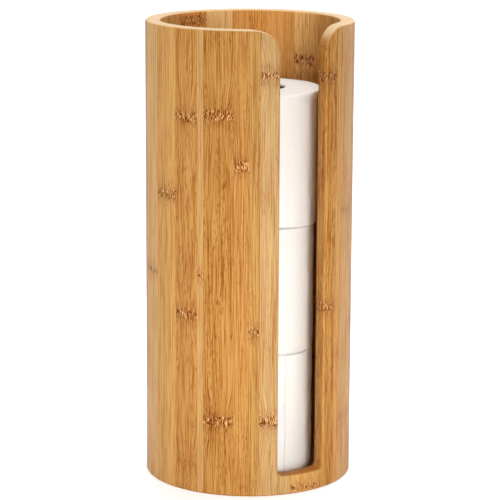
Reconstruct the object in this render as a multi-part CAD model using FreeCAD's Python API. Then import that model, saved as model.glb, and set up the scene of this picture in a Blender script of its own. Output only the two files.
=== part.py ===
import FreeCAD, Part
import math
import os
from FreeCAD import Vector

# Free-standing holder for spare toilet rolls.
# A tube of edge-glued bamboo staves is closed at the foot by a thin panel set in a rebate.
# A slot down the front shows how many rolls are left. Its shoulders roll over into the rim, and
# every edge a hand meets is eased in one unbroken run: rim, shoulders, slot sides and lip.
# Millimetres, +Z up. The origin is the centre of the underside, and the slot faces -Y.
# Angles run from the slot's centre line, anticlockwise as seen from above.

# The rolls, which set the bore and the height of the tube
ROLL_DIAMETER = 93.0
ROLL_HEIGHT = 96.5
CORE_DIAMETER = 45.0
CORE_WALL = 0.8
# Each roll in the stack from the bottom up: its name, and where its axis stands, x and y
ROLLS = (("bottom", 1.4, -0.8), ("middle", 2.1, -1.2), ("top", 3.4, -2.1))

# The tube
WALL = 11.0
SIDE_CLEARANCE = 20.0   # from the roll to the bore, room for finger tips
HEADROOM = 51.5         # from the top roll to the rim
EDGE_RADIUS = 1.5       # rim, shoulders, slot sides and lip, inside and out
FOOT_RADIUS = 1.5       # outer edge of the foot
# Arc of each stave in degrees. They are cut to odd widths, so that no board is wasted.
FIRST_STAVE_ANGLE = -108.2
STAVE_ARCS = (17.0, 16.6, 14.2, 4.0, 17.0, 8.2, 5.8, 18.2, 20.0, 10.7, 5.3, 16.0,
              18.8, 18.9, 18.8, 17.0, 20.5, 21.5, 18.5, 23.5, 16.5, 16.5)

# The slot
SLOT_WIDTH = 38.4
LIP_HEIGHT = 15.0       # top of the lip above the floor the holder stands on
SHOULDER_RADIUS = 18.0
SLOT_CORNER_RADIUS = 4.0

# The base panel
PANEL_THICKNESS = 2.5
REBATE_WIDTH = 4.0

# Clearances
PANEL_GAP = 0.2         # glue line round the panel
CORE_GAP = 0.15         # between the core and the first turn of tissue
REST_GAP = 0.2          # under each roll, because tissue is never quite flat

# What follows from the sizes above
ROLL_RADIUS = ROLL_DIAMETER / 2
CORE_RADIUS = CORE_DIAMETER / 2
BORE_RADIUS = ROLL_RADIUS + SIDE_CLEARANCE
OUTER_RADIUS = BORE_RADIUS + WALL
REBATE_RADIUS = BORE_RADIUS + REBATE_WIDTH
ROLL_PITCH = ROLL_HEIGHT + REST_GAP
HEIGHT = PANEL_THICKNESS + len(ROLLS) * ROLL_PITCH + HEADROOM
OVERCUT = 10.0          # how far a cutter runs past what it cuts
ON_WALL = 0.01          # an edge this near to a wall face lies on it


def on_circle(radius, degrees, z):
    angle = math.radians(degrees)
    return Vector(radius * math.sin(angle), -radius * math.cos(angle), z)


def turned(points):
    """A ring turned about Z from a closed outline of (radius, height) points."""
    corners = [Vector(radius, 0, z) for radius, z in points]
    face = Part.Face(Part.makePolygon(corners + corners[:1]))
    return face.revolve(Vector(0, 0, 0), Vector(0, 0, 1), 360)


def arc_between(centre, radius, first, last):
    """An arc in the XZ plane, from the first angle to the last in degrees."""
    points = []
    for degrees in (first, (first + last) / 2, last):
        angle = math.radians(degrees)
        step = Vector(radius * math.cos(angle), 0, radius * math.sin(angle))
        points.append(centre + step)
    return Part.Arc(*points).toShape()


def tube_blank():
    """The turned tube before the slot is cut, with the rebate for the panel."""
    return turned([
        (BORE_RADIUS, PANEL_THICKNESS),
        (REBATE_RADIUS, PANEL_THICKNESS),
        (REBATE_RADIUS, 0),
        (OUTER_RADIUS, 0),
        (OUTER_RADIUS, HEIGHT),
        (BORE_RADIUS, HEIGHT),
    ])


def slot_cutter():
    """The slot as seen from the front. Its shoulders run out level with the rim."""
    half = SLOT_WIDTH / 2
    shoulder_z = HEIGHT - SHOULDER_RADIUS
    corner_z = LIP_HEIGHT + SLOT_CORNER_RADIUS
    wide = half + SHOULDER_RADIUS
    inset = half - SLOT_CORNER_RADIUS
    above = HEIGHT + OVERCUT
    outline = [
        arc_between(Vector(-wide, 0, shoulder_z), SHOULDER_RADIUS, 90, 0),
        Part.makeLine(Vector(-half, 0, shoulder_z), Vector(-half, 0, corner_z)),
        arc_between(Vector(-inset, 0, corner_z), SLOT_CORNER_RADIUS, 180, 270),
        Part.makeLine(Vector(-inset, 0, LIP_HEIGHT), Vector(inset, 0, LIP_HEIGHT)),
        arc_between(Vector(inset, 0, corner_z), SLOT_CORNER_RADIUS, 270, 360),
        Part.makeLine(Vector(half, 0, corner_z), Vector(half, 0, shoulder_z)),
        arc_between(Vector(wide, 0, shoulder_z), SHOULDER_RADIUS, 180, 90),
        Part.makeLine(Vector(wide, 0, HEIGHT), Vector(wide, 0, above)),
        Part.makeLine(Vector(wide, 0, above), Vector(-wide, 0, above)),
        Part.makeLine(Vector(-wide, 0, above), Vector(-wide, 0, HEIGHT)),
    ]
    face = Part.Face(Part.Wire(outline))
    return face.extrude(Vector(0, -(OUTER_RADIUS + OVERCUT), 0))


def radius_at(point):
    return math.hypot(point.x, point.y)


def runs_along(edge, radius):
    """True if an edge lies on the cylinder of this radius about Z."""
    first, last = edge.ParameterRange
    for share in (0.0, 0.3, 0.5, 0.7, 1.0):
        point = edge.valueAt(first + share * (last - first))
        if abs(radius_at(point) - radius) > ON_WALL:
            return False
    return True


def is_seam(shape, edge):
    return len(shape.ancestorsOfType(edge, Part.Face)) < 2


def top_of(edge):
    return edge.BoundBox.ZMax


def eased_tube():
    """The tube with its slot, and with every edge a hand meets rounded over."""
    tube = tube_blank().cut(slot_cutter()).Solids[0]
    hand_edges = []
    for edge in tube.Edges:
        on_wall = runs_along(edge, OUTER_RADIUS) or runs_along(edge, BORE_RADIUS)
        above_panel = top_of(edge) > PANEL_THICKNESS * 1.5
        if on_wall and above_panel and not is_seam(tube, edge):
            hand_edges.append(edge)
    tube = tube.makeFillet(EDGE_RADIUS, hand_edges)
    foot_edges = []
    for edge in tube.Edges:
        if runs_along(edge, OUTER_RADIUS) and top_of(edge) < PANEL_THICKNESS / 2:
            foot_edges.append(edge)
    return tube.makeFillet(FOOT_RADIUS, foot_edges)


def stave_wedge(start, end):
    """The sector one stave is planed to. Its two flat sides meet on the tube's axis."""
    reach = OUTER_RADIUS + OVERCUT
    corners = [Vector(0, 0, -OVERCUT)]
    for degrees in (start, (start + end) / 2, end):
        corners.append(on_circle(reach, degrees, -OVERCUT))
    face = Part.Face(Part.makePolygon(corners + corners[:1]))
    return face.extrude(Vector(0, 0, HEIGHT + 2 * OVERCUT))


def staves():
    """The eased tube parted at its glue lines, named in order round the ring."""
    tube = eased_tube()
    rest = 360.0 - sum(STAVE_ARCS)
    start = FIRST_STAVE_ANGLE
    parts = {}
    for number, arc in enumerate(STAVE_ARCS + (rest,), 1):
        pieces = tube.common(stave_wedge(start, start + arc)).Solids
        parts["stave_%02d" % number] = max(pieces, key=lambda solid: solid.Volume)
        start += arc
    return parts


def base_panel():
    return Part.makeCylinder(REBATE_RADIUS - PANEL_GAP, PANEL_THICKNESS)


def roll_paper(height):
    """The wound tissue of one roll, sawn square at both ends, standing on z = 0."""
    hole = CORE_RADIUS + CORE_GAP
    return turned([(hole, 0), (ROLL_RADIUS, 0), (ROLL_RADIUS, height), (hole, height)])


def roll_core(height):
    """The cardboard tube that the tissue is wound on."""
    hole = CORE_RADIUS - CORE_WALL
    return turned([(hole, 0), (CORE_RADIUS, 0), (CORE_RADIUS, height), (hole, height)])


def rolls():
    parts = {}
    for place, (name, x, y) in enumerate(ROLLS):
        stand = Vector(x, y, PANEL_THICKNESS + REST_GAP + place * ROLL_PITCH)
        parts["roll_%s_paper" % name] = roll_paper(ROLL_HEIGHT).translated(stand)
        parts["roll_%s_core" % name] = roll_core(ROLL_HEIGHT).translated(stand)
    return parts


os.makedirs("parts", exist_ok=True)
parts = {"base_panel": base_panel()}
parts.update(staves())
parts.update(rolls())
for name in sorted(parts):
    parts[name].exportStep("parts/" + name + ".step")
print(len(parts), "parts,", round(2 * OUTER_RADIUS, 2), "mm across,", round(HEIGHT, 2), "mm tall")
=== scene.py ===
# %% [markdown]
# # A bamboo holder for spare toilet rolls
# The holder is a tube of bamboo staves with a slot down the front, and three rolls stand in it.
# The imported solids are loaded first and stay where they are: they fix every size and place, so
# the rest of the lesson only dresses them. The staves and the base keep their solids and get a
# finish. The rolls are soft, so they are modelled anew in the space that their solids hold.

# %% Load the frame
import math

import bmesh
import bpy
from mathutils import Matrix, Vector, noise


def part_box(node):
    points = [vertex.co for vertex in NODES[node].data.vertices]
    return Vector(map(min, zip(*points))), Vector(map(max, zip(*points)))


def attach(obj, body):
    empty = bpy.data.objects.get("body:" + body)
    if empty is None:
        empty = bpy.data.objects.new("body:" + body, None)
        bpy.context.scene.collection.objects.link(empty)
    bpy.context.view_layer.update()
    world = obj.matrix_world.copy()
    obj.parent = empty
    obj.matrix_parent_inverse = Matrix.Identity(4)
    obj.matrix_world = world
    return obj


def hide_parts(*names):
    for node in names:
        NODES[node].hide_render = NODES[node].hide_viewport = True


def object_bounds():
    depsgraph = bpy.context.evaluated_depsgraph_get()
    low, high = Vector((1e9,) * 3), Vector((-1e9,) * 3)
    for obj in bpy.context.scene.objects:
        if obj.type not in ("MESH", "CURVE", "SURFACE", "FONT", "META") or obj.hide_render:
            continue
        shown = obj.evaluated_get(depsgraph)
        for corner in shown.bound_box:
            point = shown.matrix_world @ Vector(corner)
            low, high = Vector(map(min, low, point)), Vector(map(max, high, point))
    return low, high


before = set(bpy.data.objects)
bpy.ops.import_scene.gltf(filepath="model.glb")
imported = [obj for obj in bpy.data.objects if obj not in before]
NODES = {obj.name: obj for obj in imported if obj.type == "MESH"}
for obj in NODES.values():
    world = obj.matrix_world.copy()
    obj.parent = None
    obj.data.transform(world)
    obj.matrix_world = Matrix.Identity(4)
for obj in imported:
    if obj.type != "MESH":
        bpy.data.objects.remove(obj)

MM = 0.001
CAD_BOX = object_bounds()
TUBE_RADIUS = (CAD_BOX[1].x - CAD_BOX[0].x) / 2
TUBE_HEIGHT = CAD_BOX[1].z
print("tube", round(2 * TUBE_RADIUS / MM, 1), "mm across,", round(TUBE_HEIGHT / MM, 1), "mm tall")

# %% [markdown]
# ## The camera
# The photograph was taken a little above the rim with a long lens, so the sides of the tube close
# in only slightly towards the foot. A camera could be turned by eye until the outline fits, but a
# long lens makes distance and zoom look alike. So the outline's two ellipses and two sides were
# measured, and the distance, height, tilt and lens that give them are written here as sizes.

# %% Camera
VIEW_AZIMUTH = math.radians(-31.2)   # the slot is turned this far to the right of the view
CAMERA_DISTANCE = 1.6838             # from the tube's axis, along the floor
CAMERA_HEIGHT = 0.5241
CAMERA_TILT = 0.2075                 # downwards, in radians
CAMERA_ROLL = 0.0048
CAMERA_PAN = 0.00047
LENS = 164.2                         # millimetres on a sensor 36 mm wide
SENSOR = 36.0

VIEW_RIGHT = Vector((math.cos(VIEW_AZIMUTH), math.sin(VIEW_AZIMUTH), 0))
VIEW_AWAY = Vector((-math.sin(VIEW_AZIMUTH), math.cos(VIEW_AZIMUTH), 0))
UP = Vector((0, 0, 1))


def camera_axes():
    """The camera's right, up and back directions: tilt first, then roll, then pan."""
    forward = VIEW_AWAY * math.cos(CAMERA_TILT) - UP * math.sin(CAMERA_TILT)
    up = VIEW_AWAY * math.sin(CAMERA_TILT) + UP * math.cos(CAMERA_TILT)
    right = VIEW_RIGHT * math.cos(CAMERA_ROLL) + up * math.sin(CAMERA_ROLL)
    up = up * math.cos(CAMERA_ROLL) - VIEW_RIGHT * math.sin(CAMERA_ROLL)
    turn = Matrix.Rotation(-CAMERA_PAN, 3, up)
    return turn @ right, up, turn @ -forward


def place_camera():
    data = bpy.data.cameras.new("photo_camera")
    data.lens = LENS
    data.sensor_width = SENSOR
    camera = bpy.data.objects.new("photo_camera", data)
    bpy.context.scene.collection.objects.link(camera)
    spot = UP * CAMERA_HEIGHT - VIEW_AWAY * CAMERA_DISTANCE
    axes = Matrix(camera_axes()).transposed().to_4x4()
    camera.matrix_world = Matrix.Translation(spot) @ axes
    bpy.context.scene.camera = camera
    print("camera at", [round(v, 3) for v in spot])


place_camera()

# %% [markdown]
# ## Helpers for finishes
# Every finish below is a small tree of nodes. One function adds a node with its settings and its
# links, so that a tree reads as a list of steps. Colours are written as sRGB hex values, as a
# paint program shows them, and one function turns them into the linear values that shaders need.

# %% Helpers for finishes


def linear(colour):
    """An sRGB hex colour as the linear RGBA that a shader socket takes."""
    levels = [int(colour[i:i + 2], 16) / 255 for i in (1, 3, 5)]
    lit = [v / 12.92 if v <= 0.04045 else ((v + 0.055) / 1.055) ** 2.4 for v in levels]
    return (*lit, 1.0)


def add(tree, kind, settings, *inputs, **named):
    """Adds a node. Inputs come in the order of its live sockets, or by name. Each is a number,
    a vector, a colour, a socket or another node, which stands for its first live output."""
    node = tree.nodes.new("ShaderNode" + kind)
    for name, value in settings.items():
        setattr(node, name, value)
    live = [socket for socket in node.inputs if socket.enabled]
    pairs = list(zip(live, inputs)) + [(node.inputs[name], value) for name, value in named.items()]
    for socket, value in pairs:
        if isinstance(value, bpy.types.Node):
            value = next(output for output in value.outputs if output.enabled)
        if isinstance(value, bpy.types.NodeSocket):
            tree.links.new(value, socket)
        else:
            socket.default_value = value
    return node


def new_material(name):
    """A material with its shader, to which a finish adds its nodes."""
    material = bpy.data.materials.new(name)
    material.use_nodes = True
    tree = material.node_tree
    return material, tree, tree.nodes["Principled BSDF"]


def dress(piece, material):
    piece.data.materials.clear()
    piece.data.materials.append(material)


# Settings that many nodes share
EASED = {"interpolation_type": "SMOOTHSTEP"}
COLOURS = {"data_type": "RGBA"}
STAIN = {"data_type": "RGBA", "blend_type": "MULTIPLY"}
TIMES = {"operation": "MULTIPLY"}
LARGER = {"operation": "MAXIMUM"}
APART = {"operation": "ABSOLUTE"}
TIMES_PLUS = {"operation": "MULTIPLY_ADD"}

# %% [markdown]
# ## Bamboo
# Each stave is a strip of carbonised bamboo, planed, glued, turned and given a satin lacquer.
# Bamboo has no rings: it shows straight fibres that run the whole length, short dark flecks where
# the bundles of fibre surface, and at each knuckle of the cane a ragged row of dark crumbs with
# dashes and a shaded band around it. On the rim the fibres are cut across and show as dots.
# A single wood pattern over the whole tube would run through the glue lines. So each stave gets a
# material of its own, with its own tone and knuckles, made by one function.

# %% Bamboo tones and knuckles, stave by stave
# Tone of the stave, how strongly it is flecked, and its knuckles: height in mm, then strength
# The tones are partly painted light: stave_01 and stave_12, at the two sides of the view, are paler
# and cooler for a painted sheen, and stave_17 to stave_20, on the far inner wall, are paler to make
# up for the shade inside the tube
STAVES = {
    "stave_01": ("#EBBA74", 0.25, ((161, 0.9),)),
    "stave_02": ("#DDA963", 0.25, ((222, 1.0),)),
    "stave_03": ("#CB9652", 0.60, ((280, 1.0), (266, 0.5), (135, 1.0), (120, 0.6), (21, 0.85))),
    "stave_04": ("#CFA164", 0.20, ((165, 0.9),)),
    "stave_05": ("#BF8C47", 0.75, ((283, 1.0), (267, 0.6), (57, 1.0), (42, 0.6))),
    "stave_06": ("#C28E4A", 0.45, ((247, 1.0),)),
    "stave_07": ("#BD8F4C", 0.45, ((124, 1.0),)),
    "stave_08": ("#C59F69", 0.30, ((312, 0.95), (57, 1.0))),
    "stave_09": ("#D9A864", 0.30, ((4, 0.93),)),
    "stave_10": ("#C7924B", 0.85, ((308, 1.0), (138, 0.95))),
    "stave_11": ("#D29E59", 0.30, ((101, 0.85),)),
    "stave_12": ("#D3A469", 0.30, ((208, 0.85), (49, 0.8))),
    "stave_13": ("#CC9350", 0.60, ((262, 0.9), (118, 1.0))),
    "stave_14": ("#D5A15E", 0.30, ((186, 0.9),)),
    "stave_15": ("#D9A662", 0.35, ((296, 0.8), (74, 0.9))),
    "stave_16": ("#F3C57F", 0.50, ((308, 1.0), (298, 0.8), (150, 0.9))),
    "stave_17": ("#E2A65D", 0.35, ((232, 0.9), (36, 0.8))),
    "stave_18": ("#E0A252", 0.60, ((170, 1.0), (155, 0.6))),
    "stave_19": ("#F2C682", 0.25, ((254, 0.8), (92, 0.9))),
    "stave_20": ("#F3B162", 0.65, ((337, 1.0), (198, 0.9))),
    "stave_21": ("#D49F5B", 0.40, ((128, 0.9),)),
    "stave_22": ("#D8A460", 0.30, ((270, 0.8), (66, 0.9))),
    "stave_23": ("#CF9651", 0.60, ((216, 1.0), (201, 0.6))),
}
print(len(STAVES), "staves to dress")

# %% [markdown]
# ### Where a point lies on a stave
# The middle and the arc of a stave are read from its solid. The pattern is then drawn in
# millimetres across, through and along the stave: an angle about the tube's axis times the radius
# gives the way across, so the grain stays straight round the curve. All of the pattern is noise
# drawn out along the fibres, and each kind of mark has its own width and length.

# %% Places on a stave


def stave_angles(node):
    """The middle of a stave and half its arc, from its solid, in radians from the slot."""
    points = [vertex.co for vertex in node.data.vertices]
    middle = sum(points, Vector()) / len(points)
    turn = math.atan2(middle.x, -middle.y)
    back = Matrix.Rotation(-turn, 3, "Z")
    turned = [back @ point for point in points]
    angles = [math.atan2(point.x, -point.y) for point in turned]
    return turn + (max(angles) + min(angles)) / 2, (max(angles) - min(angles)) / 2


def stave_place(tree, centre):
    """Millimetres across, through and along a stave whose middle lies at this angle."""
    here = add(tree, "TexCoord", {}).outputs["Object"]
    turned = add(tree, "Mapping", {}, here, Rotation=(0, 0, -centre), Scale=(1 / MM, 1 / MM, 1 / MM))
    apart = add(tree, "SeparateXYZ", {}, turned)
    through = add(tree, "Math", TIMES, apart.outputs["Y"], -1.0)
    angle = add(tree, "Math", {"operation": "ARCTAN2"}, apart.outputs["X"], through)
    across = add(tree, "Math", TIMES, angle, TUBE_RADIUS / MM)
    along = apart.outputs["Z"]
    return add(tree, "CombineXYZ", {}, across, through, along), across, along


def along_fibres(tree, place, size, shift, detail=2.0):
    """Noise of this width and length. Shift moves it, so that no two staves match."""
    width, length = size
    drawn = add(tree, "VectorMath", TIMES_PLUS, place, (1 / width, 1 / width, 1 / length),
                (shift, 0.7 * shift, 1.3 * shift))
    return add(tree, "TexNoise", {}, drawn, 1.0, detail)


for name in list(STAVES)[:3]:
    centre, half = stave_angles(NODES[name])
    print(name, "centre", round(math.degrees(centre), 1), "arc", round(math.degrees(2 * half), 1))

# %% [markdown]
# ### Knuckles
# The cane has a wall across it at each knuckle, and the fibres bend and tangle on their way past.
# One value that rises from 0 towards a knuckle's row drives all of that: it moves the place at
# which the grain is read, sideways and in towards the middle of the stave, and later it brings in
# the dashes and crumbs. The row itself wanders, because a straight one would look printed.

# %% Knuckles
KNUCKLE_REACH = 26.0     # how far above and below its row a knuckle still bends the fibres
KNUCKLE_WANDER = 5.0     # how far the row wanders up and down
WANDERS = (2.2, 14.0)    # width and length of those wanderings
SWINGS = (5.0, 10.0)     # width and length of the swings in the fibres
SWIRL = 2.5              # how far the fibres swing sideways
GATHER = 0.5             # how far they draw in towards the middle of the stave, as a share


def knuckle_nearness(tree, place, along, knuckles, shift):
    """From 0, away from every knuckle, to a knuckle's strength, on its row."""
    wander = along_fibres(tree, place, WANDERS, shift, 3.0)
    risen = add(tree, "Math", TIMES_PLUS, wander, KNUCKLE_WANDER, along)
    nearness = None
    for height, strength in knuckles:
        above = add(tree, "Math", {"operation": "SUBTRACT"}, risen, height + KNUCKLE_WANDER / 2)
        gap = add(tree, "Math", APART, above)
        near = add(tree, "MapRange", {}, gap, 0.0, KNUCKLE_REACH, strength, 0.0)
        nearness = near if nearness is None else add(tree, "Math", LARGER, nearness, near)
    return nearness


def swung(tree, place, across, nearness, shift):
    """The place with the fibres swinging sideways and drawing together near a knuckle."""
    swing = along_fibres(tree, place, SWINGS, shift)
    sway = add(tree, "MapRange", {}, swing, 0.0, 1.0, -SWIRL, SWIRL)
    aside = add(tree, "Math", TIMES_PLUS, across, GATHER, sway)
    push = add(tree, "Math", TIMES, aside, nearness)
    return add(tree, "VectorMath", TIMES_PLUS, push, (1, 0, 0), place)


# %% [markdown]
# ### The finish of a stave
# The colour is built up as the eye would find it: the tone of the strip, broad bands, pale and dark
# lines, flecks, then the knuckles, the glue line at both edges and the cut ends. Dark marks are
# stains that multiply the tone under them, so that they show on a pale stave and on a dark one.
# Each mark comes from a noise through a Map Range node, whose first two numbers say at what level
# of the noise the mark begins and is full, and whose last two say how strong it is there. Each
# noise adds a number of its own to the stave's shift, so that no two patterns coincide.
# The lacquer is satin and nearly matt: it smooths the light a little and mirrors hardly anything.

# %% Bamboo finish
# Width and length of each kind of mark in millimetres. Real fibres are 0.3 mm wide, and are drawn
# coarser here so that they show.
FIGURE = (4.0, 110.0)    # broad lighter and darker bands
LINES = (0.58, 40.0)
FLECKS = (0.62, 6.5)
STRETCHES = (8.0, 45.0)  # where flecks lie thick or thin
DASHES = (0.62, 4.5)
CRUMBS = (0.9, 2.6)
GLUE_PATCHES = (60.0, 60.0)   # where the glue line shows more or less
DOT_PITCH = 1.1          # bundles seen end on at the rim
GLUE_LINE = 0.4
GRAIN_DEPTH = 0.1        # the lacquer sinks this far into the fibres
LACQUER_MIRROR = 0.08    # satin lacquer, nearly matt
STAVE_SHIFT = 7.3        # moves the pattern from one stave to the next
FIBRE_PALE = "#F0C07C"
FIBRE_STAIN = "#D2A878"  # stains darken the stave's own tone, so that they show on any stave
FLECK_STAIN = "#B98850"
CRUMB_DARK = "#6E3000"
CRUMB_PALE = "#F2C084"
# Cut ends at the rim and at the lip: the rim's colour is paler for a painted sheen, the lip's darker
# for painted shade
RIM_GRAIN_PAINTED_SHEEN = "#F0CFA0"
LIP_GRAIN_PAINTED_SHADE = "#B8742C"


def bamboo(name, number):
    """Lacquered bamboo: warm straight lines with a soft sheen, dark and ragged at the knuckles."""
    tone, flecked, knuckles = STAVES[name]
    centre, half_arc = stave_angles(NODES[name])
    material, tree, shader = new_material("lacquered_bamboo_" + name)
    place, across, along = stave_place(tree, centre)
    shift = STAVE_SHIFT * number
    nearness = knuckle_nearness(tree, place, along, knuckles, shift + 11)
    grain = swung(tree, place, across, nearness, shift + 15)

    # Straight fibres: broad bands, then pale and dark lines
    figure = along_fibres(tree, grain, FIGURE, shift)
    lines = along_fibres(tree, grain, LINES, shift + 3, 1.0)
    banding = add(tree, "MapRange", EASED, figure, 0.4, 0.65, 0.0, 0.18)
    colour = add(tree, "Mix", STAIN, banding, linear(tone), linear(FIBRE_STAIN))
    pale_lines = add(tree, "MapRange", EASED, lines, 0.46, 0.34, 0.0, 0.2)
    colour = add(tree, "Mix", COLOURS, pale_lines, colour, linear(FIBRE_PALE))
    dark_lines = add(tree, "MapRange", EASED, lines, 0.53, 0.60, 0.0, 0.5 + 0.5 * flecked)
    colour = add(tree, "Mix", STAIN, dark_lines, colour, linear(FIBRE_STAIN))

    # Flecks, thick in some stretches and thin in others
    bundles = along_fibres(tree, grain, FLECKS, shift + 5)
    stretches = along_fibres(tree, place, STRETCHES, shift + 9)
    thick = add(tree, "MapRange", EASED, stretches, 0.4, 0.6, 0.2 * flecked, flecked)
    sharp = add(tree, "MapRange", EASED, bundles, 0.52, 0.62, 0.0, 1.0)
    flecks = add(tree, "Math", TIMES, thick, sharp)
    colour = add(tree, "Mix", STAIN, flecks, colour, linear(FLECK_STAIN))

    # Knuckles: a shaded band, dashes, then dark and pale crumbs in the row itself
    shade = add(tree, "MapRange", EASED, nearness, 0.4, 1.0, 0.0, 0.2)
    colour = add(tree, "Mix", STAIN, shade, colour, linear(FIBRE_STAIN))
    around = add(tree, "MapRange", EASED, nearness, 0.5, 0.85, 0.0, 0.75)
    strokes = along_fibres(tree, grain, DASHES, shift + 17)
    dashes = add(tree, "MapRange", EASED, strokes, 0.53, 0.62, 0.0, around)
    colour = add(tree, "Mix", STAIN, dashes, colour, linear(FLECK_STAIN))
    row = add(tree, "MapRange", EASED, nearness, 0.8, 0.9, 0.0, 1.0)
    crumbs = along_fibres(tree, grain, CRUMBS, shift + 13)
    dark_crumbs = add(tree, "MapRange", EASED, crumbs, 0.51, 0.56, 0.0, row)
    colour = add(tree, "Mix", COLOURS, dark_crumbs, colour, linear(CRUMB_DARK))
    pale_crumbs = add(tree, "MapRange", EASED, crumbs, 0.42, 0.35, 0.0, row)
    colour = add(tree, "Mix", COLOURS, pale_crumbs, colour, linear(CRUMB_PALE))

    # The glue line at both edges, which shows here and there
    half_width = half_arc * TUBE_RADIUS / MM
    aside = add(tree, "Math", APART, across)
    patches = along_fibres(tree, place, GLUE_PATCHES, shift + 19)
    bold = add(tree, "MapRange", EASED, patches, 0.45, 0.65, 0.1, 0.6)
    glue = add(tree, "MapRange", EASED, aside, half_width - GLUE_LINE, half_width, 0.0, bold)
    colour = add(tree, "Mix", STAIN, glue, colour, linear(FLECK_STAIN))

    # Faces that look up or down show the fibres cut across
    normal = add(tree, "SeparateXYZ", {}, add(tree, "NewGeometry", {}).outputs["Normal"])
    level = add(tree, "Math", APART, normal.outputs["Z"])
    cut = add(tree, "VectorMath", TIMES, place, (1 / DOT_PITCH, 1 / DOT_PITCH, 0))
    dots = add(tree, "MapRange", EASED, add(tree, "TexVoronoi", {}, cut, 1.0), 0.15, 0.45, 0.5, 0.0)
    # End grain is painted paler towards the rim and darker towards the lip: painted sheen at the rim
    # and painted shade at the lip, over the cut fibres' own colour
    high = add(tree, "MapRange", EASED, along, 0.0, TUBE_HEIGHT / MM, 0.0, 1.0)
    ends = add(tree, "Mix", COLOURS, high, linear(LIP_GRAIN_PAINTED_SHADE), linear(RIM_GRAIN_PAINTED_SHEEN))
    ends = add(tree, "Mix", STAIN, dots, ends, linear(FIBRE_STAIN))
    on_end = add(tree, "MapRange", EASED, level, 0.35, 0.9, 0.0, 0.9)
    colour = add(tree, "Mix", COLOURS, on_end, colour, ends)

    # Satin lacquer, a little rougher on the dark lines, where it has sunk in
    satin = add(tree, "MapRange", EASED, lines, 0.3, 0.7, 0.36, 0.48)
    bump = add(tree, "Bump", {}, Strength=0.3, Distance=GRAIN_DEPTH * MM, Height=lines)
    tree.links.new(colour.outputs["Result"], shader.inputs["Base Color"])
    tree.links.new(satin.outputs["Result"], shader.inputs["Roughness"])
    tree.links.new(bump.outputs["Normal"], shader.inputs["Normal"])
    shader.inputs["Specular IOR Level"].default_value = LACQUER_MIRROR
    return material


for number, name in enumerate(STAVES, 1):
    dress(NODES[name], bamboo(name, number))
print(len(STAVES), "staves dressed")

# %% [markdown]
# ## The base panel
# The base is a thin board of the same bamboo, in strips that run straight across. Only its
# underside and a little of its top can be seen. Its strips are a step pattern: the distance across
# the board, divided by the width of a strip and rounded down, gives each strip its number, and
# a noise read at that number gives it a tone.

# %% Base panel
STRIP_WIDTH = 19.0       # millimetres
STRIP_DARK = "#C8935A"
STRIP_PALE = "#DDB07A"
PANEL_SHIFT = 91.0


def panel_finish():
    """Bare sanded bamboo: the same straight lines, dry and without a sheen."""
    material, tree, shader = new_material("bamboo_panel")
    here = add(tree, "TexCoord", {}).outputs["Object"]
    scaled = add(tree, "Mapping", {}, here, Scale=(1 / MM, 1 / MM, 1 / MM))
    apart = add(tree, "SeparateXYZ", {}, scaled)
    place = add(tree, "CombineXYZ", {}, apart.outputs["X"], apart.outputs["Z"], apart.outputs["Y"])
    strips = add(tree, "Math", {"operation": "DIVIDE"}, apart.outputs["X"], STRIP_WIDTH)
    number = add(tree, "Math", {"operation": "FLOOR"}, strips)
    tone = add(tree, "TexWhiteNoise", {"noise_dimensions": "1D"}, number)
    colour = add(tree, "Mix", COLOURS, tone.outputs["Value"], linear(STRIP_DARK), linear(STRIP_PALE))
    lines = along_fibres(tree, place, LINES, PANEL_SHIFT, 3.0)
    dark_lines = add(tree, "MapRange", EASED, lines, 0.5, 0.7, 0.0, 0.5)
    colour = add(tree, "Mix", STAIN, dark_lines, colour, linear(FIBRE_STAIN))
    part = add(tree, "Math", {"operation": "FRACT"}, strips)
    off_middle = add(tree, "Math", APART, add(tree, "Math", {"operation": "SUBTRACT"}, part, 0.5))
    glue = add(tree, "MapRange", EASED, off_middle, 0.5 - GLUE_LINE / STRIP_WIDTH, 0.5, 0.0, 0.5)
    colour = add(tree, "Mix", STAIN, glue, colour, linear(FIBRE_STAIN))
    tree.links.new(colour.outputs["Result"], shader.inputs["Base Color"])
    shader.inputs["Roughness"].default_value = 0.6
    return material


dress(NODES["base_panel"], panel_finish())
print("base panel dressed")

# %% [markdown]
# ## The rolls
# A toilet roll is one long sheet of soft two-ply tissue wound on a tube of grey board. A plain
# ring would be too perfect: the sheet's free end makes a small step down the side, the ends of
# the roll wave and tilt as the stack settles, and a loose outer turn flares at the rim.
# The roll could be a true spiral of a hundred turns, but only the outermost one shows. So the
# section of the roll is spun almost all the way round, its two ends are bridged across a narrow
# strip, and the radius grows a little along the way: the strip becomes the step at the free end.

# %% Ring of tissue
TURNS = 240              # columns round a roll
ROWS = 44                # cuts up its side
RINGS = 12               # cuts across its ends
STEP_GAP = 0.15 * MM     # width of the strip that becomes the step
ROLL_EDGE = 0.8 * MM     # the outer corners are eased by this much
SHARP_ANGLE = math.radians(40)


def roll_section(inner, outer, tall):
    """The outline of a roll's section in the XZ plane, with its outer corners eased."""
    bm = bmesh.new()
    places = ((inner, 0), (outer, 0), (outer, tall), (inner, tall))
    corners = [bm.verts.new((radius, 0, z)) for radius, z in places]
    bm.faces.new(corners)
    bmesh.ops.bevel(bm, geom=corners[1:3], offset=ROLL_EDGE, offset_type="OFFSET", segments=3,
                    profile=0.5, affect="VERTICES", material=-1)
    bmesh.ops.delete(bm, geom=bm.faces[:], context="FACES_ONLY")
    long = [edge for edge in bm.edges if edge.calc_length() > 2 * ROLL_EDGE]
    upright = [edge for edge in long if abs(edge.verts[0].co.z - edge.verts[1].co.z) > tall / 2]
    level = [edge for edge in long if edge not in upright]
    bmesh.ops.subdivide_edges(bm, edges=upright, cuts=ROWS)
    bmesh.ops.subdivide_edges(bm, edges=level, cuts=RINGS)
    return bm


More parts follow.
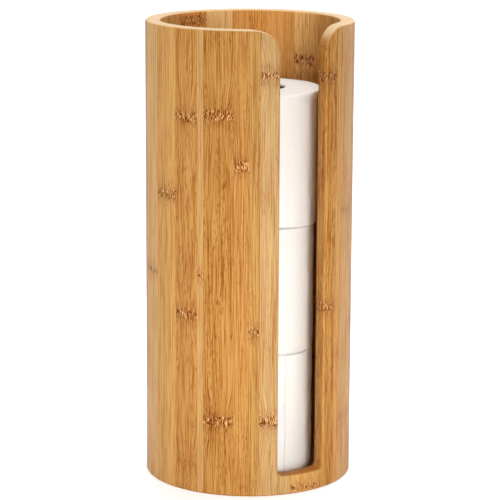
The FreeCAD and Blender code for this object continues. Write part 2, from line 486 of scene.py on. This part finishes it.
def spun_open(bm, start):
    """Spins a section from the start angle almost all the way round and bridges its two ends."""
    first = bm.edges[:]
    bmesh.ops.rotate(bm, verts=bm.verts[:], cent=(0, 0, 0), matrix=Matrix.Rotation(start, 3, "Z"))
    reach = max(vertex.co.xy.length for vertex in bm.verts)
    spun = bmesh.ops.spin(bm, geom=bm.verts[:] + bm.edges[:], cent=(0, 0, 0), axis=(0, 0, 1),
                          angle=2 * math.pi - STEP_GAP / reach, steps=TURNS,
                          use_merge=False, use_duplicate=False)
    last = [item for item in spun["geom_last"] if isinstance(item, bmesh.types.BMEdge)]
    bmesh.ops.bridge_loops(bm, edges=first + last)
    bmesh.ops.recalc_face_normals(bm, faces=bm.faces[:])


def piece_from(bm, name, place=Vector()):
    """Puts a finished bmesh in the scene. Its place goes into the mesh, not the object."""
    bmesh.ops.translate(bm, verts=bm.verts[:], vec=place)
    mesh = bpy.data.meshes.new(name)
    bm.to_mesh(mesh)
    bm.free()
    piece = bpy.data.objects.new(name, mesh)
    bpy.context.scene.collection.objects.link(piece)
    for polygon in mesh.polygons:
        polygon.use_smooth = True
    mesh.set_sharp_from_angle(angle=SHARP_ANGLE)
    return piece


# %% [markdown]
# ### Tissue and grey board
# Tissue is scraped off a drying drum with a blade, which gives it a fine crepe. It is white, quite
# matt, and light seeps a little way into it, so its shadows are soft. The crepe, the creases of the
# loose outer turn and the edges of the plies on the ends of the roll are too fine to model, so they
# are a bump. The core is board made of waste paper: dull grey with a faint mottle of pulp.

# %% Tissue finish
CREPE_PITCH = 1.2        # millimetres; real crepe is finer, drawn coarser so that it shows
CREASE_PITCH = 7.0       # soft creases of the loose outer turn
CREASE_DEPTH = 2.0       # as a multiple of the crepe's
PLY_PITCH = 0.9          # real plies are 0.2 mm apart, drawn coarser so that they show
CREPE_DEPTH = 0.2
SEEP = 4.0               # how far light travels inside the tissue
TISSUE_SHADED = "#F6F4EE"
TISSUE_WHITE = "#FAF9F5"


def about_axis(tree, axis):
    """The place in millimetres from a roll's own axis."""
    here = add(tree, "TexCoord", {}).outputs["Object"]
    return add(tree, "Mapping", {}, here, Scale=(1 / MM, 1 / MM, 1 / MM),
               Location=(-axis.x / MM, -axis.y / MM, 0))


def tissue_finish(name, axis):
    """Creped tissue: a soft matt white with a fine tooth, and lines of plies on its ends."""
    material, tree, shader = new_material("creped_tissue_" + name)
    place = about_axis(tree, axis)
    flat = add(tree, "VectorMath", TIMES, place, (1, 1, 0))
    radius = add(tree, "VectorMath", {"operation": "LENGTH"}, flat).outputs["Value"]
    crepe = add(tree, "TexNoise", {}, place, 1 / CREPE_PITCH, 3.0)
    plies = add(tree, "Math", {"operation": "SINE"},
                add(tree, "Math", TIMES, radius, 2 * math.pi / PLY_PITCH))
    normal = add(tree, "SeparateXYZ", {}, add(tree, "NewGeometry", {}).outputs["Normal"])
    level = add(tree, "Math", APART, normal.outputs["Z"])
    on_end = add(tree, "MapRange", EASED, level, 0.5, 0.95, 0.0, 0.5)
    creases = add(tree, "TexNoise", {}, place, 1 / CREASE_PITCH, 2.0)
    folds = add(tree, "Math", TIMES_PLUS, creases, CREASE_DEPTH, crepe)
    height = add(tree, "Math", TIMES_PLUS, plies, on_end, folds)
    bump = add(tree, "Bump", {}, Strength=0.3, Distance=CREPE_DEPTH * MM, Height=height)
    tree.links.new(bump.outputs["Normal"], shader.inputs["Normal"])
    # The crepe's hollows are painted a shade darker than its crests: painted shade
    soft = add(tree, "MapRange", EASED, crepe, 0.3, 0.7, 0.0, 1.0)
    colour = add(tree, "Mix", COLOURS, soft, linear(TISSUE_SHADED), linear(TISSUE_WHITE))
    tree.links.new(colour.outputs["Result"], shader.inputs["Base Color"])
    shader.inputs["Roughness"].default_value = 0.95
    shader.inputs["Specular IOR Level"].default_value = 0.2
    shader.inputs["Subsurface Weight"].default_value = 0.6
    shader.inputs["Subsurface Radius"].default_value = (1.0, 0.9, 0.8)
    shader.inputs["Subsurface Scale"].default_value = SEEP * MM
    return material


# %% Grey board finish
PULP_SPECKS = 0.6        # specks to a millimetre
BOARD_DARK = "#58534A"
BOARD_PALE = "#6A655B"


def board_finish(name, axis):
    """Grey board: dull and dark, with a faint mottle of pulp."""
    material, tree, shader = new_material("grey_board_" + name)
    pulp = add(tree, "TexNoise", {}, about_axis(tree, axis), PULP_SPECKS, 4.0)
    mottle = add(tree, "MapRange", EASED, pulp, 0.35, 0.65, 0.0, 1.0)
    colour = add(tree, "Mix", COLOURS, mottle, linear(BOARD_DARK), linear(BOARD_PALE))
    tree.links.new(colour.outputs["Result"], shader.inputs["Base Color"])
    shader.inputs["Roughness"].default_value = 0.9
    return material


# %% [markdown]
# ### Settling
# The rolls lean on one another, so their ends tilt and the joints in the slot run aslant. Two
# rolls that meet share one level, and each roll is stretched between the level under it and the one
# above it. That way the joints stay thin and no roll cuts into the next. The wrinkles, the groove
# at the free end, the flare and the pinched foot then move the side in and out. They grow towards
# the outside, because the inner turns are wound tight.

# %% How the rolls have settled
# The ends of the rolls from the base up: how far each lies above where a new roll would have it,
# how far it tilts down to the right, and how far up to the back, at its edge in millimetres
LEVELS = ((0.0, 0.0, 0.0), (-0.1, 2.8, 0.0), (-0.1, 3.6, 0.0), (1.4, 0.0, 0.8))
# Each roll from the bottom up: the angle of its free end from the slot in degrees, how far its top
# turn flares, and how far its foot is pinched, in millimetres
ROLLS = {
    "bottom": (3.0, 0.0, 1.4),
    "middle": (120.0, 0.0, 0.3),
    "top": (150.0, 2.8, 0.0),
}
SHEET_STEP = 0.7         # the free end stands this far out
WRINKLE = 0.3
WRINKLE_HEIGHT = 14.0
WRINKLES_ROUND = 3       # how fast the wrinkles change round the roll
TAIL_DIP = 1.0           # the groove along the free end, where the sheet lifts off the roll
TAIL_SHARE = 1.5 / TURNS  # its share of the way round
END_WAVE = 0.6           # how far the ends of a roll wave up and down at its outer edge
WAVES_ROUND = 4          # how fast they wave
FLARE_HEIGHT = 7.0
PINCH_HEIGHT = 6.0


def eased(value, low, high):
    share = min(max((value - low) / (high - low), 0), 1)
    return share * share * (3 - 2 * share)


def level_at(level, out, share):
    """How far an end of a roll has moved, in this direction, at this share of the way out."""
    settled, right, back = level
    return settled + share * (back * out.dot(VIEW_AWAY.xy) - right * out.dot(VIEW_RIGHT.xy))


def settle(bm, name, start, inner, outer, tall):
    """Moves the vertices of a perfect roll to where soft tissue would lie."""
    flare, pinch = ROLLS[name][1:]
    place = list(ROLLS).index(name)
    half_gap = STEP_GAP / (2 * outer)
    for vertex in bm.verts:
        angle = math.atan2(vertex.co.y, vertex.co.x)
        out = vertex.co.xy.normalized()
        radius = vertex.co.xy.length
        z = vertex.co.z
        turn = ((angle - start + half_gap) / (2 * math.pi)) % 1
        share = (radius - inner) / (outer - inner)
        rightward = 0.5 + 0.5 * out.dot(VIEW_RIGHT.xy)
        wrinkle = noise.noise(Vector((*(WRINKLES_ROUND * out), z / (WRINKLE_HEIGHT * MM))))
        swell = SHEET_STEP * (0.5 - turn) + WRINKLE * wrinkle
        swell -= TAIL_DIP * eased(turn, 1 - TAIL_SHARE, 1)
        swell += flare * rightward * eased(z, tall - FLARE_HEIGHT * MM, tall - MM)
        swell -= pinch * rightward * (1 - eased(z, 0, PINCH_HEIGHT * MM))
        radius += share ** 2 * swell * MM
        bob = 0.5 + 0.5 * noise.noise(Vector((*(WAVES_ROUND * out), 0.5)))
        wave = END_WAVE * share ** 3 * bob
        foot = level_at(LEVELS[place], out, share)
        top = level_at(LEVELS[place + 1], out, share)
        rise = foot + (top - foot) * z / tall + wave * (1 - 2 * z / tall)
        vertex.co = Vector((*(out * radius), z + rise * MM))


# %% [markdown]
# ### Winding the rolls
# Each roll is wound round its own axis and then put where its solid stands. It rides on the same
# body as the solid and is shown in its place, so it lifts out of the tube with its core. The core
# is stiff board and keeps its solid.

# %% Wind the rolls


def wind_roll(name):
    """The tissue of one roll, in the space its solid holds."""
    node = "roll_%s_paper" % name
    low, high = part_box(node)
    axis = (low + high) / 2
    outer = (high.x - low.x) / 2
    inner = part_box("roll_%s_core" % name)[1].x - axis.x
    tall = high.z - low.z
    start = math.radians(ROLLS[name][0] - 90)
    bm = roll_section(inner, outer, tall)
    spun_open(bm, start)
    settle(bm, name, start, inner, outer, tall)
    roll = piece_from(bm, "tissue_" + name, Vector((axis.x, axis.y, low.z)))
    dress(roll, tissue_finish(name, axis))
    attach(roll, "roll_" + name)
    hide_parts(node)
    dress(NODES["roll_%s_core" % name], board_finish(name, axis))
    print(roll.name, len(roll.data.polygons), "faces")


for name in ROLLS:
    wind_roll(name)

# %% [markdown]
# ## Floor and light
# The photograph is lit softly from all round, and the light reaches deep into the slot. A single
# lamp would leave the paper in the slot grey, because the slot is turned away and lets in only what
# comes from its own direction. So most of the light comes from a soft lamp beside the camera, a
# little to the right, and a narrow one, nearer and lower, shines into the lower half of the slot.
# Lamps at the left, above and at the back shape the tube, and an even white world fills the rest.
# The floor is a sheet of pale paper. It is lifted to white only for what the eye sees, so the lift
# adds no light to the tube, and the soft shadow at the foot stays. Beside the tube the lift is
# smaller, which darkens the floor round the foot: painted shade on top of the real shadow.

# %% Floor and light
WORLD_LIGHT = 0.29
# The glow beside the tube is lower than further off: that paints shade on the floor round the foot
NEAR_GLOW_PAINTED_SHADE = 0.55         # what lifts the floor to white, beside the tube and further off
FAR_GLOW = 0.86
GLOW_REACH = 0.25        # from the tube's axis, in metres
FLOOR_REACH = 12.0       # metres
FLOOR_TONE = "#DADADA"
# Each lamp: metres to the right of the view, towards the camera and up, its size and its watts
LAMPS = {
    "front_softbox": (0.40, 1.98, 0.52, 0.7, 21.5),
    "left_softbox": (-1.45, 1.45, 0.8, 1.2, 8.5),
    "top_softbox": (0.1, -0.7, 2.2, 1.0, 26.0),
    "back_softbox": (0.8, -1.7, 0.9, 1.2, 9.0),
}
# A narrow lamp for the slot, in the same order, with the height it is aimed at and its spread
LOW_LAMP = (0.25, 0.95, 0.3, 0.15, 0.094)
LOW_AIM = 0.08
LOW_SPREAD = math.radians(30)


def seen_rays(tree):
    """1 for what the eye sees, straight or mirrored, and 0 for light that bounces on."""
    path = add(tree, "LightPath", {})
    seen = add(tree, "Math", LARGER, path.outputs["Is Camera Ray"], path.outputs["Is Glossy Ray"])
    return add(tree, "Math", LARGER, seen, path.outputs["Is Transmission Ray"])


def white_world():
    world = bpy.data.worlds.new("studio")
    bpy.context.scene.world = world
    world.use_nodes = True
    tree = world.node_tree
    shader = tree.nodes["Background"]
    strength = add(tree, "MapRange", {}, seen_rays(tree), 0.0, 1.0, WORLD_LIGHT, 1.0)
    tree.links.new(strength.outputs[0], shader.inputs["Strength"])
    shader.inputs["Color"].default_value = (1, 1, 1, 1)


def pale_floor():
    """Pale matt paper: a plain white ground that still takes a shadow."""
    bm = bmesh.new()
    bmesh.ops.create_grid(bm, x_segments=1, y_segments=1, size=FLOOR_REACH)
    floor = piece_from(bm, "floor")
    material, tree, shader = new_material("floor_paper")
    shader.inputs["Base Color"].default_value = linear(FLOOR_TONE)
    shader.inputs["Roughness"].default_value = 0.9
    shader.inputs["Emission Color"].default_value = (1, 1, 1, 1)
    here = add(tree, "TexCoord", {}).outputs["Object"]
    off = add(tree, "VectorMath", {"operation": "LENGTH"}, here).outputs["Value"]
    # Less lift beside the tube: painted shade round the foot
    lift_with_painted_foot_shade = add(tree, "MapRange", EASED, off, TUBE_RADIUS, GLOW_REACH, NEAR_GLOW_PAINTED_SHADE, FAR_GLOW)
    glow = add(tree, "Math", TIMES, seen_rays(tree), lift_with_painted_foot_shade)
    tree.links.new(glow.outputs[0], shader.inputs["Emission Strength"])
    dress(floor, material)


def soft_lamp(name, side, front, height, size, power, aim=TUBE_HEIGHT / 2, spread=math.pi):
    """A square lamp placed in the photograph's view and aimed at this height on the tube."""
    data = bpy.data.lights.new(name, "AREA")
    data.size = size
    data.energy = power
    data.spread = spread
    lamp = bpy.data.objects.new(name, data)
    bpy.context.scene.collection.objects.link(lamp)
    spot = VIEW_RIGHT * side - VIEW_AWAY * front + UP * height
    turn = (UP * aim - spot).to_track_quat("-Z", "Y").to_matrix().to_4x4()
    lamp.matrix_world = Matrix.Translation(spot) @ turn
    lamp.visible_camera = False


white_world()
pale_floor()
for name, lamp in LAMPS.items():
    soft_lamp(name, *lamp)
soft_lamp("low_softbox", *LOW_LAMP, aim=LOW_AIM, spread=LOW_SPREAD)
bpy.context.scene.view_settings.view_transform = "Standard"
print("floor, world and", len(LAMPS) + 1, "lamps")
